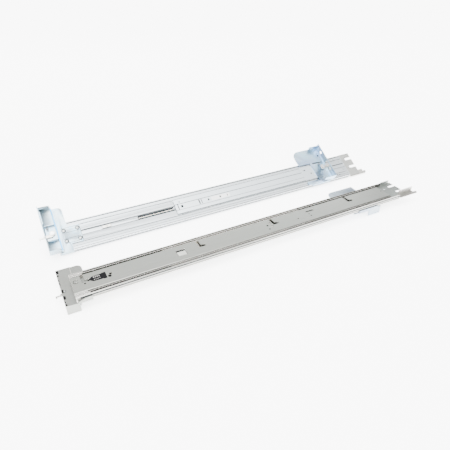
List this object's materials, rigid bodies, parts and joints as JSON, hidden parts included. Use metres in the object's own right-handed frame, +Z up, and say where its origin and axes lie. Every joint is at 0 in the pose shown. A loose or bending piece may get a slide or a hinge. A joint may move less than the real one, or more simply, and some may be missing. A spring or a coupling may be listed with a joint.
{
  "type": "sliding server rail pair",
  "caption": "Pair of telescopic sliding server rails with rack flanges, J-shaped stud slots, ball cages, sliding rear brackets and cable-arm brackets.",
  "frame": {"origin": "middle of the pair's outline on the surface it lies on", "axes": "+X from the front flanges to the rear, +Y from the left rail to the right rail, +Z up"},
  "size_m": [0.701, 0.2148, 0.068],
  "materials": {
    "zinc_sheet": "cold zinc-plated sheet",
    "bright_zinc": "bright plated sheet",
    "satin_steel": "satin warm grey plated sheet",
    "bracket_zinc": "zinc-plated sheet",
    "blue_zinc": "blue passivated zinc",
    "cable_zinc": "zinc-plated sheet",
    "cage_strip": "bright strip",
    "ball_steel": "polished",
    "rivet_steel": "plated",
    "lever_grey": "moulded grey-green",
    "print_black": "flat black print"
  },
  "bodies": {
    "racked_rails": {"left_outer_member": "zinc_sheet", "left_front_bracket": "bracket_zinc", "left_latch_housing": "bracket_zinc", "left_hook_pivot": "ball_steel", "left_bracket_rivets": "rivet_steel", "left_front_stops": "bright_zinc", "left_cable_bracket": "cable_zinc", "left_cable_arm": "cable_zinc", "left_cable_rivets": "rivet_steel", "right_outer_member": "zinc_sheet", "right_front_bracket": "bracket_zinc", "right_latch_housing": "bracket_zinc", "right_hook_pivot": "ball_steel", "right_bracket_rivets": "rivet_steel", "right_front_stops": "bright_zinc", "right_cable_bracket": "cable_zinc", "right_cable_arm": "cable_zinc", "right_cable_rivets": "rivet_steel"},
    "left_middle": {"left_middle_member": "bright_zinc", "left_middle_stops": "bright_zinc"},
    "left_inner": {"left_inner_member": "satin_steel", "left_lever_pin": "ball_steel", "left_arrow_mark": "print_black"},
    "left_outer_race": {"left_outer_cage": "cage_strip", "left_outer_balls": "ball_steel"},
    "left_inner_race": {"left_inner_cage": "cage_strip", "left_inner_balls": "ball_steel"},
    "left_rear": {"left_rear_extension": "zinc_sheet", "left_rear_bracket": "blue_zinc", "left_latch_pivot": "ball_steel"},
    "left_hook": {"left_front_hook": "bright_zinc"},
    "left_latch": {"left_rear_latch": "bright_zinc"},
    "left_lever": {"left_lock_lever": "lever_grey"},
    "left_release": {"left_release_tab": "lever_grey"},
    "right_middle": {"right_middle_member": "bright_zinc", "right_middle_stops": "bright_zinc"},
    "right_inner": {"right_inner_member": "satin_steel", "right_lever_pin": "ball_steel", "right_arrow_mark": "print_black"},
    "right_outer_race": {"right_outer_cage": "cage_strip", "right_outer_balls": "ball_steel"},
    "right_inner_race": {"right_inner_cage": "cage_strip", "right_inner_balls": "ball_steel"},
    "right_rear": {"right_rear_extension": "zinc_sheet", "right_rear_bracket": "blue_zinc", "right_latch_pivot": "ball_steel"},
    "right_hook": {"right_front_hook": "bright_zinc"},
    "right_latch": {"right_rear_latch": "bright_zinc"},
    "right_lever": {"right_lock_lever": "lever_grey"},
    "right_release": {"right_release_tab": "lever_grey"}
  },
  "joints": [
    {"name": "left_middle_travel", "type": "slide", "parent": "racked_rails", "child": "left_middle", "axis": [-1, 0, 0], "range_m": [0, 0.28]},
    {"name": "left_inner_travel", "type": "slide", "parent": "left_middle", "child": "left_inner", "axis": [-1, 0, 0], "range_m": [0, 0.28]},
    {"name": "left_outer_race_travel", "type": "slide", "parent": "racked_rails", "child": "left_outer_race", "axis": [-1, 0, 0], "range_m": [0, 0.14]},
    {"name": "left_inner_race_travel", "type": "slide", "parent": "left_middle", "child": "left_inner_race", "axis": [-1, 0, 0], "range_m": [0, 0.14]},
    {"name": "left_rear_adjust", "type": "slide", "parent": "racked_rails", "child": "left_rear", "axis": [1, 0, 0], "range_m": [0, 0.15]},
    {"name": "left_hook_turn", "type": "hinge", "parent": "racked_rails", "child": "left_hook", "pos_m": [-0.329, -0.06793, 0.0113], "axis": [0, 0, 1], "range_deg": [-15, 0], "stiffness_Nm_per_rad": 0.2},
    {"name": "left_latch_turn", "type": "hinge", "parent": "left_rear", "child": "left_latch", "pos_m": [0.2405, -0.07043, 0.0121], "axis": [0, 0, 1], "range_deg": [0, 12], "stiffness_Nm_per_rad": 0.2},
    {"name": "left_lever_turn", "type": "hinge", "parent": "left_inner", "child": "left_lever", "pos_m": [-0.319, -0.07143, 0.0244], "axis": [0, 0, 1], "range_deg": [-8, 0], "stiffness_Nm_per_rad": 0.2},
    {"name": "left_release_press", "type": "slide", "parent": "left_inner", "child": "left_release", "axis": [0, 0, -1], "range_m": [0, 0.0012], "stiffness_N_per_m": 300},
    {"name": "right_middle_travel", "type": "slide", "parent": "racked_rails", "child": "right_middle", "axis": [-1, 0, 0], "range_m": [0, 0.28]},
    {"name": "right_inner_travel", "type": "slide", "parent": "right_middle", "child": "right_inner", "axis": [-1, 0, 0], "range_m": [0, 0.28]},
    {"name": "right_outer_race_travel", "type": "slide", "parent": "racked_rails", "child": "right_outer_race", "axis": [-1, 0, 0], "range_m": [0, 0.14]},
    {"name": "right_inner_race_travel", "type": "slide", "parent": "right_middle", "child": "right_inner_race", "axis": [-1, 0, 0], "range_m": [0, 0.14]},
    {"name": "right_rear_adjust", "type": "slide", "parent": "racked_rails", "child": "right_rear", "axis": [1, 0, 0], "range_m": [0, 0.15]},
    {"name": "right_hook_turn", "type": "hinge", "parent": "racked_rails", "child": "right_hook", "pos_m": [-0.329, 0.06193, 0.03226], "axis": [0, -0.515, 0.8572], "range_deg": [-15, 0], "stiffness_Nm_per_rad": 0.2},
    {"name": "right_latch_turn", "type": "hinge", "parent": "right_rear", "child": "right_latch", "pos_m": [0.2405, 0.06019, 0.03028], "axis": [0, -0.515, 0.8572], "range_deg": [0, 12], "stiffness_Nm_per_rad": 0.2},
    {"name": "right_lever_turn", "type": "hinge", "parent": "right_inner", "child": "right_lever", "pos_m": [-0.319, 0.06567, 0.01922], "axis": [0, -0.515, 0.8572], "range_deg": [-8, 0], "stiffness_Nm_per_rad": 0.2},
    {"name": "right_release_press", "type": "slide", "parent": "right_inner", "child": "right_release", "axis": [0, -0.515, 0.8572], "range_m": [0, 0.0012], "stiffness_N_per_m": 300}
  ],
  "couplings": [
    {"joint": "left_outer_race_travel", "follows": "left_middle_travel", "ratio": 0.5},
    {"joint": "left_inner_race_travel", "follows": "left_inner_travel", "ratio": 0.5},
    {"joint": "right_outer_race_travel", "follows": "right_middle_travel", "ratio": 0.5},
    {"joint": "right_inner_race_travel", "follows": "right_inner_travel", "ratio": 0.5}
  ]
}
